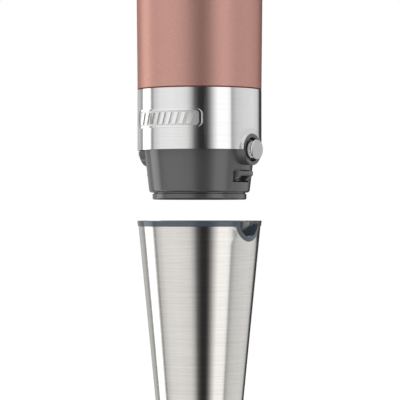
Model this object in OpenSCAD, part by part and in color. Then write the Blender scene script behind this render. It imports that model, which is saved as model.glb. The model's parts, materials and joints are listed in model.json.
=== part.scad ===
// Hand blender: a motor unit with a steel band and a plastic collar, and a stainless blending
// shaft that slides up over the collar and snaps in place.
// Millimetres, +Z up, front towards -Y, release buttons on the X axis.
// The origin is the middle of the blade guard's rim. The shaft is drawn off downwards by shaft_gap.

/* [Overall] */
// Outer radius of the steel band, which the whole body follows
band_r = 31; // [28:0.5:37]
// Height of the steel band
band_h = 30; // [28:0.5:38]
// Length of the grip sleeve above the band
sleeve_l = 141; // [138:1:170]
// Length of the shaft unit, from the guard's rim to the top of its plastic rim
shaft_l = 205; // [180:1:246]
// Distance by which the shaft is drawn off the motor unit
shaft_gap = 35; // [32:1:60]

/* [Grip sleeve] */
// Wall of the sleeve
sleeve_wall = 2; // [1.2:0.1:2.4]
// How much the sleeve's radius grows from its bottom to its top
sleeve_flare = 1.45; // [0:0.05:3]
// Bevel on the sleeve's bottom edge
sleeve_bevel = 0.35; // [0.1:0.05:0.6]

/* [Band and badge] */
// Wall of the steel band
band_wall = 1.1; // [0.6:0.1:1.4]
// Thickness of the steel's edge round each boss
flange_t = 0.3; // [0.2:0.1:0.8]
// Width of the hollow curve that draws the steel out to that edge
flange_round = 2.8; // [1.5:0.1:4]
// Height of the badge
badge_h = 9.1; // [6:0.1:12]
// Width of the badge, measured straight across
badge_w = 38; // [20:1:44]
// Thickness of the badge's raised frame
badge_t = 0.9; // [0.5:0.1:1.5]
// Depth of the badge's pocket in the band
badge_sink = 0.25; // [0.1:0.05:0.5]
// Gap round the badge in its pocket
badge_gap = 0.3; // [0.1:0.05:0.5]
// Width of the badge's raised frame
badge_frame = 0.9; // [0.5:0.1:1.5]
// Number of raised ribs on the badge
badge_ribs = 9; // [3:1:13]

/* [Collar] */
// Height of the collar's cone below the band
cone_h = 21; // [19:0.5:26]
// How far the cone's top sits in from the band
cone_inset = 3.5; // [2.8:0.05:4]
// How much the cone's radius shrinks over its height
cone_taper = 2.3; // [1:0.05:3.5]
// Rounding of the cone's lower edge
cone_round = 1.4; // [0.5:0.1:2]
// Height of the spigot below the cone
spigot_h = 3.5; // [2.5:0.1:6]
// How far the spigot sits in from the cone's lower edge
spigot_inset = 1.7; // [1:0.1:2.5]
// Wall of the spigot
spigot_wall = 2; // [1.4:0.1:3]
// Wall of the cone
cone_wall = 2.6; // [1.8:0.1:3.2]
// Thickness of the collar's floor
floor_t = 2.5; // [2:0.1:3.5]
// Depth of the recess under the floor
recess_d = 10.5; // [9:0.5:12]

/* [Release] */
// Outer radius of the boss round each release button
boss_r = 7.7; // [7:0.1:9]
// How far each boss stands out of the band
boss_proud = 1; // [0.5:0.1:2]
// Radius of the bore that a button slides in
boss_bore_r = 6; // [5.4:0.1:6.4]
// Radius of a release button's face
button_r = 4.9; // [4:0.05:5.2]
// How much wider a button is at the foot of its tapered side
button_skirt = 0.7; // [0.2:0.1:0.8]
// How far a button stands out of its boss
button_proud = 2.9; // [2:0.1:4]
// Travel of a release button
release_travel = 3; // [2:0.1:3.5]
// Width of a snap tongue
tongue_w = 12; // [8:0.5:13]
// Height of a snap tongue
tongue_h = 4.8; // [4:0.1:5.5]
// Distance from the band's lower edge down to a tongue's top
tongue_drop = 10.6; // [10.4:0.1:12]
// How far a tongue stands out of the cone
tongue_proud = 2.4; // [1.5:0.1:2.4]
// Wire radius of a release spring
spring_wire_r = 0.35; // [0.25:0.05:0.5]
// Coil radius of a release spring
spring_r = 3; // [2:0.1:4]
// Number of turns of a release spring
spring_turns = 5; // [3:1:7]

/* [Keys and dial] */
// Width of the key panel
panel_w = 24; // [20:1:28]
// Height of the key panel
panel_h = 62; // [56:1:66]
// Radius of the round power key
power_key_r = 8; // [6:0.5:9]
// Width of the boost key
boost_key_w = 14; // [10:0.5:16]
// Height of the boost key
boost_key_h = 25; // [16:0.5:27]
// Travel of both keys
key_travel = 1.5; // [1:0.1:2]
// How far the keys stand out of the panel
key_proud = 1.8; // [1.6:0.1:3]
// Radius of the speed dial
dial_r = 14; // [10:0.5:15]
// Height of the speed dial
dial_h = 13; // [8:0.5:20]
// Number of grip flutes round the speed dial
dial_flutes = 24; // [12:1:30]
// Height of the top cap above the sleeve
cap_h = 9; // [7:0.5:12]

/* [Cord inlet] */
// Radius of the cord that the gland takes
cord_r = 3.5; // [2.5:0.1:4]
// Length of the gland's bore
gland_l = 12; // [8:0.5:16]

/* [Motor] */
// Outer radius of the motor can
can_r = 21; // [17:0.5:23]
// Length of the motor can
can_l = 60; // [50:1:64]
// Wall of the motor can
can_wall = 1.4; // [1:0.1:2]
// Radius of the rotor's shaft
rotor_shaft_r = 2.5; // [2:0.1:3]
// Radius of the armature
armature_r = 13; // [9:0.5:14]
// Number of armature slots
armature_slots = 12; // [8:1:16]
// Number of fan blades
fan_blades = 11; // [7:1:15]

/* [Drive coupling] */
// Radius of the splined pin
spline_r = 4; // [3:0.1:4.5]
// Number of splines
spline_count = 6; // [4:1:8]
// Length of the splined pin
spline_l = 9.5; // [7:0.5:10]
// Outer radius of the drive socket
socket_r = 8.5; // [7:0.1:9]

/* [Shaft] */
// Wall of the steel shell
shell_wall = 0.8; // [0.5:0.1:1]
// Height of the shaft's plastic rim
rim_h = 2.8; // [2:0.1:4]
// Width of the plastic lip round each notch
lip_w = 2.1; // [1:0.1:2.5]
// Radius of the shell's narrowest stretch
neck_r = 15.6; // [12:0.1:19]
// Radius of the spindle
spindle_r = 3; // [2.5:0.1:4]

/* [Blade guard] */
// Radius of the guard's rim
guard_r = 33; // [27:0.5:40]
// Height of the guard
guard_h = 50; // [42:1:60]
// Wall of the guard
guard_wall = 1; // [0.8:0.1:1.5]
// Number of arches in the guard's rim
guard_arches = 4; // [2:1:6]
// Radius of an arch
arch_r = 8.5; // [5:0.5:10]
// Height of the blade's hub above the rim
blade_z = 14; // [12:0.5:16]
// Reach of a blade tip from the axis
blade_reach = 24; // [16:0.5:25]

/* [Hidden] */
$fn = 96;

eps = 0.01;                 // overlap that makes a cut run clean through a face
slip = 0.05;                // radial clearance of a pin in its bush
seat = 0.1;                 // gap between pieces that sit together
pull = shaft_gap - 0.3;     // travel that seats the shaft's rim under the band
gap = 0.4;                  // clearance between the shaft's socket and the collar

// Heights, from the guard's rim
band_z = shaft_l + shaft_gap;           // the band's lower edge, where the shaft's rim seats
band_top_z = band_z + band_h;
sleeve_z = band_top_z + 0.3;
sleeve_top_z = sleeve_z + sleeve_l;
cone_low_z = band_z - cone_h;
spigot_low_z = cone_low_z - spigot_h;
floor_low_z = spigot_low_z + recess_d;
floor_top_z = floor_low_z + floor_t;

// Radii of the collar
cone_top_r = band_r - cone_inset;
cone_low_r = cone_top_r - cone_taper;
spigot_r = cone_low_r - spigot_inset;
recess_r = spigot_r - spigot_wall;
carrier_r = band_r - band_wall - seat;
carrier_bore_r = carrier_r - 2.1;
carrier_top_z = band_top_z - 3;
function cone_r(z) = cone_top_r - cone_taper * (band_z - z) / cone_h;

// Release pieces
badge_low_z = band_z + band_h / 2 - badge_h;
badge_corner = 2.6;
boss_x = band_r + boss_proud;
button_x = boss_x + button_proud;
tongue_top_z = band_z - tongue_drop;
tongue_low_z = tongue_top_z - tongue_h;
tongue_x = cone_r(tongue_top_z) + tongue_proud;
slider_x = cone_r(tongue_low_z) - cone_wall - 3.4;  // inner face of a slider
slider_t = 3;
slider_top_z = band_z + 5;
slider_w = tongue_w + 0.4;
window_gap = 0.6;
spring_seat_x = 11.5;       // outer radius of the bracket's tube, where the springs push
tube_bore_r = spring_seat_x - 2;

// Motor, from the collar upwards
leg_top_z = band_z + 10;
bracket_t = 3;
fan_z = leg_top_z + bracket_t + 2;
fan_h = 7;
can_z = fan_z + fan_h + 4;
can_top_z = can_z + can_l;
end_cap_t = 6;
bearing_h = 4;
bearing_r = 5.5;
rotor_top_z = can_top_z + end_cap_t + bearing_h + 2;
damper_h = 5;
damper_low_z = can_z + 9;
damper_top_z = can_top_z - 14;
rib_t = 2;
armature_z = can_z + 10;
armature_l = can_l - 32;
winding_h = 5;
commutator_z = armature_z + armature_l + winding_h + 1;
commutator_h = 9;
commutator_r = 7;
brush_z = commutator_z + commutator_h / 2;
brush_h = 5;

// Chassis
chassis_r = band_r - sleeve_wall - 0.2;
chassis_wall = 1.6;
chassis_bore_r = chassis_r - chassis_wall;
chassis_z = carrier_top_z + 0.2;
chassis_top_z = sleeve_top_z - 2;
screw_x = chassis_bore_r - 3.2;
screw_head_r = 2.5;
screw_head_t = 1.6;
screw_zs = [(damper_low_z + damper_top_z + damper_h) / 2, sleeve_top_z - 12];

// Keys
panel_z = sleeve_top_z - 19 - panel_h / 2;
power_key_z = panel_z + panel_h / 2 - panel_w / 2;
boost_key_z = panel_z - panel_h / 2 + boost_key_h / 2 + 5;
panel_proud = 0.4;
key_gap = 0.3;
flange_w = 1.5;
board_y = -9;
board_t = 1.6;
board_w = 40;
board_z = rotor_top_z + 2;
board_h = chassis_top_z - board_z - 16;
switch_d = 7;
stem_y = board_y - switch_d - key_travel - 0.8;     // inner end of a key's stem
key_flange_y = -band_r + 7;

// Top
cap_z = sleeve_top_z + 0.2;
cap_top_z = cap_z + cap_h;
dial_y = -10;
dial_z = cap_top_z + 0.6;
pot_z = chassis_top_z - 11;
pot_h = 6;
gland_y = 20;
gland_r = cord_r + 2.5;
gland_top_z = cap_top_z + 4;

// Drive coupling, in the seated position under the collar's floor
socket_z = floor_low_z - 3;
socket_h = spline_l + 3.5;
spline_z = socket_z - 0.6 - pull;       // base of the splined pin with the shaft drawn off

// Shaft
rim_r = band_r + 0.1;
rim_z = shaft_l - rim_h;
shell_top_r = band_r - 0.55;
cone_end_r = neck_r + 2.7;
cone_end_z = guard_h + 28;
shell_slope = (shell_top_r - cone_end_r) / (rim_z - cone_end_z);
function shell_r(z) = shell_top_r - shell_slope * (rim_z - z);
liner_floor_top_z = spigot_low_z - pull - 1;
liner_floor_t = 2.5;
liner_floor_z = liner_floor_top_z - liner_floor_t;
column_r = 10;
column_top_z = spline_z - 3.4;
column_low_z = liner_floor_z - 8;
notch_r = boss_r + gap;
lip_low_z = shaft_l - notch_r - lip_w - 2;
function liner_r(z) = shell_r(z) - shell_wall - seat;       // outside of the liner's wall
function socket_inner_r(z) = cone_r(z + pull) + gap;        // inside of it, round the collar's cone
slot_top_z = tongue_top_z - pull + 0.4;
slot_low_z = tongue_low_z - pull - 0.4;

// Guard and lower bearing
housing_z = guard_h - 22;
housing_h = 26;
housing_r = 8;
bush_r = 5.5;
bush_h = 8;
seal_h = 3;
hub_r = 5.5;
wing_root = hub_r + 1.2;
hub_z = blade_z - 3;

// ---------- shapes that repeat ----------

// A ring about Z
module ring(outer, inner, low, height) {
    translate([0, 0, low])
        difference() {
            cylinder(r = outer, h = height);
            translate([0, 0, -eps])
                cylinder(r = inner, h = height + 2 * eps);
        }
}

// A solid of revolution from (radius, height) points
module turned(points) {
    rotate_extrude()
        polygon(points);
}

// A cylinder along X
module x_rod(r, from, to, z) {
    translate([from, 0, z])
        rotate([0, 90, 0])
            cylinder(r = r, h = to - from);
}

// A cylinder along Y
module y_rod(r, from, to, x, z) {
    translate([x, to, z])
        rotate([90, 0, 0])
            cylinder(r = r, h = to - from);
}

// The children as they are, and turned half a turn about Z
module both_sides() {
    children();
    rotate([0, 0, 180])
        children();
}

// The children at the four corners that the bracket's screws take
module bracket_corners() {
    corner_r = recess_r - 4.4;
    for (a = [55, 125, 235, 305])
        rotate([0, 0, a])
            translate([corner_r, 0, 0])
                children();
}

// An upright slot shape in the XZ plane, run along Y through the front
module front_slot(w, h, z, from, to) {
    translate([0, to, z])
        rotate([90, 0, 0])
            linear_extrude(height = to - from)
                slot_outline(w, h);
}

module slot_outline(w, h) {
    end = (h - w) / 2;
    if (end > eps) {
        for (side = [-1, 1])
            translate([0, side * end])
                circle(r = w / 2);
        square([w, 2 * end], center = true);
    } else {
        circle(r = w / 2);
    }
}

// The sleeve's outer cone, grown by extra
module sleeve_cone(extra) {
    translate([0, 0, sleeve_z])
        cylinder(r1 = band_r + extra, r2 = band_r + sleeve_flare + extra, h = sleeve_l);
}

function bezier(p, t) =
    pow(1 - t, 3) * p[0] + 3 * t * pow(1 - t, 2) * p[1] + 3 * t * t * (1 - t) * p[2] + pow(t, 3) * p[3];
function curve(p, steps) = [for (i = [0 : steps]) bezier(p, i / steps)];
function reversed(list) = [for (i = [len(list) - 1 : -1 : 0]) list[i]];
// Points moved to their left by w, along the line's own normals
function inset(list, w) = [
    for (i = [0 : len(list) - 1])
        let (
            d = list[min(i + 1, len(list) - 1)] - list[max(i - 1, 0)],
            n = [-d[1], d[0]] / norm(d)
        ) list[i] + w * n
];

// ---------- motor unit: outside ----------

module grip_sleeve() {
    color([0.74, 0.56, 0.52])
        difference() {
            sleeve_cone(0);
            translate([0, 0, sleeve_z - eps])
                cylinder(
                    r1 = band_r - sleeve_wall,
                    r2 = band_r + sleeve_flare - sleeve_wall,
                    h = sleeve_l + 2 * eps
                );
            translate([0, 0, sleeve_z - eps])
                difference() {
                    cylinder(r = band_r + 1, h = sleeve_bevel);
                    cylinder(r1 = band_r - sleeve_bevel, r2 = band_r, h = sleeve_bevel);
                }
            front_slot(panel_w, panel_h, panel_z, -band_r - 5, -band_r / 2);
            for (i = [0 : 5])
                translate([-8, band_r / 2, sleeve_top_z - 14 - 4 * i])
                    cube([16, band_r, 1.8]);
        }
}

module steel_band() {
    color([0.78, 0.78, 0.79])
        difference() {
            union() {
                ring(band_r, band_r - band_wall, band_z, band_h);
                both_sides()
                    band_flange();
            }
            both_sides()
                x_rod(boss_r + seat, band_r / 2, boss_x + 1, band_z);
            badge_plate(band_r + 1, band_r - badge_sink, badge_gap);
        }
}

// The edge of the steel, drawn out round a boss in a hollow curve
module band_flange() {
    top_x = boss_x - 0.2;
    foot_r = boss_r + seat + flange_t + flange_round;
    foot_x = sqrt(band_r * band_r - foot_r * foot_r);
    difference() {
        rotate([0, 90, 0])
            translate([-band_z, 0, 0])
                rotate_extrude()
                    polygon([
                        [0, foot_x - band_wall], [foot_r, foot_x - band_wall],
                        for (a = [0 : 10 : 90])
                            [foot_r - flange_round * sin(a), top_x - (top_x - foot_x) * cos(a)],
                        [0, top_x]
                    ]);
        cylinder(r = band_r - band_wall / 2, h = 2 * band_z);
        translate([0, -band_r, 0])
            cube([2 * band_r, 2 * band_r, band_z]);
    }
}

// A rectangle with rounded corners, as points
function rounded(w, h, corner) = [
    for (q = [[1, 1, 0], [-1, 1, 90], [-1, -1, 180], [1, -1, 270]], a = [0 : 15 : 90])
        [
            q[0] * (w / 2 - corner) + corner * cos(a + q[2]),
            q[1] * (h / 2 - corner) + corner * sin(a + q[2])
        ]
];

module badge_block() {
    translate([0, 0, band_z + band_h / 2])
        rotate([90, 0, 0])
            linear_extrude(height = band_r + 3)
                children();
}

// The badge's outline, grown by room, between two distances from the axis
module badge_plate(outer, inner, room) {
    intersection() {
        ring(outer, inner, badge_low_z, 2 * badge_h);
        badge_block()
            polygon(rounded(badge_w + 2 * room, badge_h + 2 * room, badge_corner + room));
    }
}

module badge() {
    pitch = (badge_w - 6) / badge_ribs;
    rib_h = badge_h - 2 * badge_frame - 1.6;
    lean = 0.8;
    color([0.85, 0.85, 0.87])
        difference() {
            badge_plate(band_r + badge_t, band_r - badge_sink + 0.02, 0);
            intersection() {
                ring(band_r + 3, band_r + badge_t * 0.45, badge_low_z, 2 * badge_h);
                badge_block()
                    difference() {
                        polygon(rounded(
                            badge_w - 2 * badge_frame, badge_h - 2 * badge_frame,
                            badge_corner - badge_frame
                        ));
                        for (i = [0 : badge_ribs - 1])
                            translate([(i - (badge_ribs - 1) / 2) * pitch, 0])
                                polygon([
                                    [-pitch / 4 - lean, -rib_h / 2], [pitch / 4 - lean, -rib_h / 2],
                                    [pitch / 4 + lean, rib_h / 2], [-pitch / 4 + lean, rib_h / 2]
                                ]);
                    }
            }
        }
}

module coupling_collar() {
    color([0.36, 0.36, 0.37])
        difference() {
            union() {
                turned([
                    [0, floor_low_z], [recess_r, floor_low_z], [recess_r, spigot_low_z],
                    [spigot_r - 0.5, spigot_low_z], [spigot_r, spigot_low_z + 0.6],
                    [spigot_r, cone_low_z - 0.8], [spigot_r - 0.6, cone_low_z - 0.5],
                    [spigot_r - 0.6, cone_low_z],
                    for (a = [-90 : 15 : 0])
                        [cone_low_r - cone_round + cone_round * cos(a),
                         cone_low_z + cone_round + cone_round * sin(a)],
                    [cone_top_r, band_z - 0.02], [carrier_r, band_z - 0.02], [carrier_r, carrier_top_z],
                    [carrier_bore_r, carrier_top_z], [carrier_bore_r, band_z + 4],
                    [cone_top_r - cone_wall, band_z - 1],
                    [cone_r(floor_top_z) - cone_wall, floor_top_z], [0, floor_top_z]
                ]);
                both_sides()
                    x_rod(boss_r, cone_r(band_z - boss_r) - cone_wall + 0.4, boss_x, band_z);
            }
            both_sides() {
                x_rod(boss_bore_r, spring_seat_x, boss_x + 1, band_z);
                translate([
                    slider_x - release_travel - 0.5,
                    -slider_w / 2 - window_gap,
                    tongue_low_z - window_gap
                ])
                    cube([band_r, slider_w + 2 * window_gap, tongue_h + 2 * window_gap]);
            }
            translate([0, 0, floor_low_z - eps])
                cylinder(r = tube_bore_r, h = floor_t + 2 * eps);
            bracket_corners()
                translate([0, 0, floor_low_z - eps])
                    cylinder(r = 1.6, h = floor_t + 2 * eps);
            for (a = [80 : 10 : 100])
                both_sides()
                    rotate([0, 0, a])
                        translate([recess_r - 5, 0, floor_low_z - eps])
                            cylinder(r = 1.1, h = floor_t + 2 * eps);
        }
}

module key_panel() {
    color([0.2, 0.2, 0.21])
        difference() {
            intersection() {
                difference() {
                    sleeve_cone(panel_proud);
                    sleeve_cone(-sleeve_wall);
                }
                front_slot(panel_w - 2 * seat, panel_h - 2 * seat, panel_z, -band_r - 5, -band_r / 2);
            }
            front_slot(
                2 * (power_key_r + key_gap), 2 * (power_key_r + key_gap), power_key_z,
                -band_r - 6, -band_r / 3
            );
            front_slot(
                boost_key_w + 2 * key_gap, boost_key_h + 2 * key_gap, boost_key_z,
                -band_r - 6, -band_r / 3
            );
        }
}

module power_key() {
    color([0.62, 0.62, 0.63])
        key_at(2 * power_key_r, 2 * power_key_r, power_key_z);
}

module boost_key() {
    color([0.24, 0.24, 0.25])
        key_at(boost_key_w, boost_key_h, boost_key_z);
}

// A key: a cap that follows the sleeve's curve, a flange behind the panel and a stem to its switch
module key_at(w, h, z) {
    intersection() {
        sleeve_cone(panel_proud + key_proud);
        front_slot(w, h, z, -band_r - 6, key_flange_y);
    }
    intersection() {
        sleeve_cone(-sleeve_wall - seat);
        front_slot(w + 2 * flange_w, h + 2 * flange_w, z, -band_r - 6, key_flange_y);
    }
    y_rod(2, key_flange_y - eps, stem_y, 0, z);
}

module top_cap() {
    edge = 3;
    cap_r = band_r + sleeve_flare;
    color([0.24, 0.24, 0.25])
        difference() {
            union() {
                turned([
                    [0, cap_z], [cap_r, cap_z],
                    for (a = [0 : 15 : 90])
                        [cap_r - edge + edge * cos(a), cap_top_z - edge + edge * sin(a)],
                    [0, cap_top_z]
                ]);
                ring(cap_r - sleeve_wall - seat, cap_r - sleeve_wall - 1.8, cap_z - 1.4, 1.4 + eps);
                translate([0, gland_y, cap_z])
                    cylinder(r = gland_r + 1.6, h = gland_top_z - 1 - cap_z);
            }
            translate([0, 0, cap_z - eps])
                cylinder(r = cap_r - 5, h = cap_h - 4);
            translate([0, dial_y, cap_z])
                cylinder(r = 4, h = cap_h + 1);
            translate([0, gland_y, cap_z - 1])
                cylinder(r = gland_r, h = cap_h + 10);
            translate([0, dial_y, cap_top_z - 1])
                ring(dial_r + 2, dial_r + 1.2, 0, 2);
        }
}

module cord_gland() {
    color([0.12, 0.12, 0.12])
        difference() {
            union() {
                translate([0, gland_y, gland_top_z - gland_l])
                    cylinder(r = gland_r - seat, h = gland_l);
                translate([0, gland_y, gland_top_z - 0.9])
                    cylinder(r = gland_r + 1.2, h = 0.9);
                translate([0, gland_y, gland_top_z - gland_l])
                    cylinder(r = gland_r + 1.2, h = 1.2);
            }
            translate([0, gland_y, gland_top_z - gland_l - 1])
                cylinder(r = cord_r + 0.1, h = gland_l + 2);
        }
}

module speed_dial() {
    crown_h = 3;
    color([0.45, 0.45, 0.46])
        translate([0, dial_y, dial_z])
            difference() {
                union() {
                    turned([
                        [0, 0], [dial_r - 0.4, 0], [dial_r, 0.5], [dial_r, 1.6], [dial_r - 0.4, 2],
                        [0, 2]
                    ]);
                    translate([0, 0, 2 - eps])
                        linear_extrude(height = dial_h - crown_h - 2 + 2 * eps)
                            difference() {
                                circle(r = dial_r - 0.5);
                                for (i = [0 : dial_flutes - 1])
                                    rotate((i + 0.5) * 360 / dial_flutes)
                                        translate([dial_r + 0.1, 0])
                                            circle(r = 1.1);
                            }
                    turned([
                        [0, dial_h - crown_h], [dial_r - 0.6, dial_h - crown_h],
                        for (a = [0 : 18 : 90])
                            [dial_r - 3 + 2.4 * cos(a), dial_h - 2.4 + 2.4 * sin(a)],
                        [0, dial_h]
                    ]);
                }
                translate([0, 0, -eps])
                    cylinder(r = 3 + slip, h = dial_h - 4);
                translate([-0.7, -dial_r + 3.5, dial_h - 0.5])
                    cube([1.4, 6, 1]);
            }
}

// ---------- motor unit: chassis ----------

// Half of the chassis: side is -1 for the front half and 1 for the rear half
module chassis_half(side) {
    intersection() {
        union() {
            ring(chassis_r, chassis_bore_r, chassis_z, chassis_top_z - chassis_z);
            for (z = [damper_low_z, damper_top_z]) {
                ring(chassis_bore_r + eps, can_r + 2.5, z - rib_t - seat, rib_t);
                ring(chassis_bore_r + eps, can_r + 2.5, z + damper_h + seat, rib_t);
            }
            for (z = screw_zs, x = [-1, 1])
                y_rod(2.8, -8, 8, x * screw_x, z);
            translate([0, 0, pot_z + pot_h + seat])
                cylinder(r = chassis_bore_r + eps, h = 2);
        }
        translate([-band_r, side < 0 ? -band_r - seat / 2 : seat / 2, chassis_z - 1])
            cube([2 * band_r, band_r, chassis_top_z - chassis_z + 2]);
    }
}

module chassis_holes(r) {
    for (z = screw_zs, x = [-1, 1])
        y_rod(r, -9, 9, x * screw_x, z);
}

module chassis_front() {
    rail_y = board_y + board_t + seat;
    color([0.75, 0.75, 0.72])
        difference() {
            union() {
                chassis_half(-1);
                for (x = [-chassis_bore_r + 0.8, board_w / 2 - 1.5])
                    translate([x, rail_y, board_z + 2])
                        cube([chassis_bore_r - board_w / 2 + 0.7, -rail_y - seat, board_h - 4]);
            }
            chassis_holes(1.3);
            front_slot(panel_w + 6, panel_h + 6, panel_z, -band_r - 5, -band_r / 4 * 3);
            translate([0, dial_y, pot_z])
                cylinder(r = 4.4, h = 12);
        }
}

module chassis_rear() {
    color([0.75, 0.75, 0.72])
        difference() {
            chassis_half(1);
            chassis_holes(1.3);
            for (z = screw_zs, x = [-1, 1])
                y_rod(screw_head_r + seat, 8, 8 + screw_head_t + seat, x * screw_x, z);
            translate([-10, band_r / 2, sleeve_top_z - 36])
                cube([20, band_r, 26]);
            translate([0, gland_y, pot_z])
                cylinder(r = cord_r + 1, h = 12);
        }
}

module chassis_screws() {
    color([0.7, 0.7, 0.7])
        for (z = screw_zs, x = [-1, 1]) {
            y_rod(1.3, -7, 8, x * screw_x, z);
            y_rod(screw_head_r, 8, 8 + screw_head_t, x * screw_x, z);
        }
}

module motor_bracket() {
    bracket_r = carrier_bore_r - seat;
    color([0.8, 0.8, 0.78])
        difference() {
            union() {
                ring(bracket_r, bearing_r + 3, leg_top_z, bracket_t);
                ring(spring_seat_x, tube_bore_r, floor_top_z + 3, leg_top_z - floor_top_z - 3 + eps);
                bracket_corners()
                    translate([0, 0, floor_top_z + 0.02])
                        cylinder(r = 3.2, h = leg_top_z - floor_top_z);
            }
            bracket_corners()
                translate([0, 0, floor_top_z - eps])
                    cylinder(r = 1.4, h = 12);
            for (a = [0 : 30 : 330])
                rotate([0, 0, a])
                    translate([bracket_r - 5, 0, leg_top_z - 1])
                        cylinder(r = 2.2, h = bracket_t + 2);
        }
}

module bracket_screws() {
    color([0.7, 0.7, 0.7])
        bracket_corners() {
            translate([0, 0, floor_low_z - 2])
                cylinder(r = 2.7, h = 2);
            translate([0, 0, floor_low_z - eps])
                cylinder(r = 1.4, h = 11);
        }
}

module damper(z) {
    color([0.1, 0.1, 0.1])
        ring(chassis_bore_r - seat, can_r + 0.02, z, damper_h);
}

module damper_lower() {
    damper(damper_low_z);
}

module damper_upper() {
    damper(damper_top_z);
}

// ---------- motor ----------

module motor_can() {
    color([0.6, 0.6, 0.62])
        difference() {
            union() {
                translate([0, 0, can_z])
                    cylinder(r = can_r, h = can_l);
                translate([0, 0, can_z - 2.5])
                    cylinder(r = bearing_r + 1.5, h = 3);
            }
            translate([0, 0, can_z + can_wall])
                cylinder(r = can_r - can_wall, h = can_l);
            translate([0, 0, can_z - 2.5 - eps])
                cylinder(r = bearing_r, h = bearing_h + eps);
            for (a = [0 : 60 : 300])
                rotate([0, 0, a])
                    translate([can_r - 6.5, 0, can_z - 1])
                        cylinder(r = 2.4, h = can_wall + 2);
        }
}

module field_magnets() {
    color([0.25, 0.25, 0.27])
        intersection() {
            ring(can_r - can_wall - 0.05, armature_r + 0.8, armature_z - 3, armature_l + 6);
            both_sides()
                translate([4, -band_r, armature_z - 4])
                    cube([band_r, 2 * band_r, armature_l + 8]);
        }
}

module motor_end_cap() {
    color([0.15, 0.15, 0.16])
        difference() {
            union() {
                translate([0, 0, can_top_z])
                    cylinder(r = can_r, h = end_cap_t);
                translate([0, 0, can_top_z + end_cap_t])
                    cylinder(r = bearing_r + 1.5, h = bearing_h);
                both_sides()
                    translate([commutator_r + 3, -5, brush_z + brush_h / 2 + 1 + 0.02])
                        cube([can_r - can_wall - commutator_r - 5, 10, can_top_z - brush_z - brush_h / 2]);
            }
            translate([0, 0, can_top_z - 1])
                cylinder(r = commutator_r + 2, h = end_cap_t - 1);
            translate([0, 0, can_top_z + end_cap_t - 2 - eps])
                cylinder(r = rotor_shaft_r + 1, h = 3);
            translate([0, 0, can_top_z + end_cap_t])
                cylinder(r = bearing_r, h = bearing_h + eps);
        }
}

module bearing(z) {
    color([0.75, 0.65, 0.4])
        ring(bearing_r - 0.02, rotor_shaft_r + slip, z, bearing_h - 0.1);
}

module lower_bearing() {
    bearing(can_z - 2.5);
}

module upper_bearing() {
    bearing(can_top_z + end_cap_t + 0.05);
}

module carbon_brushes() {
    color([0.18, 0.18, 0.18])
        both_sides()
            translate([commutator_r + 0.35, -2, brush_z - brush_h / 2])
                cube([7, 4, brush_h]);
}

module brush_holders() {
    color([0.8, 0.65, 0.3])
        both_sides()
            difference() {
                translate([commutator_r + 1.8, -3, brush_z - brush_h / 2 - 1])
                    cube([9, 6, brush_h + 2]);
                translate([commutator_r - 1, -2.02, brush_z - brush_h / 2 - 0.02])
                    cube([9.8, 4.04, brush_h + 0.04]);
            }
}

module rotor_shaft() {
    color([0.7, 0.7, 0.72])
        translate([0, 0, socket_z + spline_l + 1])
            cylinder(r = rotor_shaft_r, h = rotor_top_z - socket_z - spline_l - 1);
}

module armature_core() {
    color([0.5, 0.5, 0.52])
        difference() {
            ring(armature_r, rotor_shaft_r + 0.01, armature_z, armature_l);
            for (i = [0 : armature_slots - 1])
                rotate([0, 0, i * 360 / armature_slots])
                    translate([armature_r * 0.62, -0.9, armature_z - 1])
                        cube([armature_r, 1.8, armature_l + 2]);
        }
}

module armature_windings() {
    color([0.75, 0.4, 0.18])
        for (z = [armature_z - winding_h - 0.05, armature_z + armature_l + 0.05])
            translate([0, 0, z])
                rotate_extrude()
                    translate([rotor_shaft_r + 1, 0])
                        difference() {
                            square([armature_r - rotor_shaft_r - 2, winding_h]);
                            translate([armature_r - rotor_shaft_r - 2, 0])
                                rotate([0, 0, 45])
                                    square([1.8, 1.8], center = true);
                            translate([armature_r - rotor_shaft_r - 2, winding_h])
                                rotate([0, 0, 45])
                                    square([1.8, 1.8], center = true);
                        }
}

module commutator() {
    color([0.8, 0.5, 0.3])
        difference() {
            ring(commutator_r, rotor_shaft_r + 0.01, commutator_z, commutator_h);
            for (i = [0 : armature_slots - 1])
                rotate([0, 0, i * 360 / armature_slots])
                    translate([commutator_r - 0.8, -0.2, commutator_z - 1])
                        cube([2, 0.4, commutator_h + 2]);
        }
}

module cooling_fan() {
    fan_r = can_r - 1.5;
    color([0.85, 0.85, 0.82]) {
        ring(5, rotor_shaft_r + 0.01, fan_z, fan_h);
        ring(fan_r, 4.9, fan_z, 1.2);
        for (i = [0 : fan_blades - 1])
            rotate([0, 0, i * 360 / fan_blades])
                translate([4.5, 0, fan_z + 1])
                    rotate([0, 0, 18])
                        cube([(fan_r - 4.5) * 0.96, 1, fan_h - 1]);
    }
}

// A splined outline: a core and evenly spaced keys
module spline_outline(extra) {
    circle(r = spline_r * 0.72 + extra);
    for (i = [0 : spline_count - 1])
        rotate([0, 0, i * 360 / spline_count])
            translate([0, -spline_r * 0.16 - extra])
                square([spline_r + extra, spline_r * 0.32 + 2 * extra]);
}

module drive_socket() {
    color([0.75, 0.1, 0.08])
        difference() {
            union() {
                translate([0, 0, socket_z])
                    cylinder(r = socket_r, h = socket_h);
                translate([0, 0, socket_z + socket_h])
                    cylinder(r = rotor_shaft_r + 2.5, h = 4);
            }
            translate([0, 0, socket_z - eps])
                linear_extrude(height = spline_l)
                    spline_outline(0.2);
            translate([0, 0, socket_z - eps])
                cylinder(r1 = spline_r + 1.2, r2 = spline_r - 0.8, h = 2);
            translate([0, 0, socket_z + spline_l + 1])
                cylinder(r = rotor_shaft_r + 0.01, h = socket_h);
        }
}

// ---------- motor unit: electrics ----------

module control_board() {
    color([0.1, 0.35, 0.2])
        translate([-board_w / 2, board_y, board_z])
            cube([board_w, board_t, board_h]);
}

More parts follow.
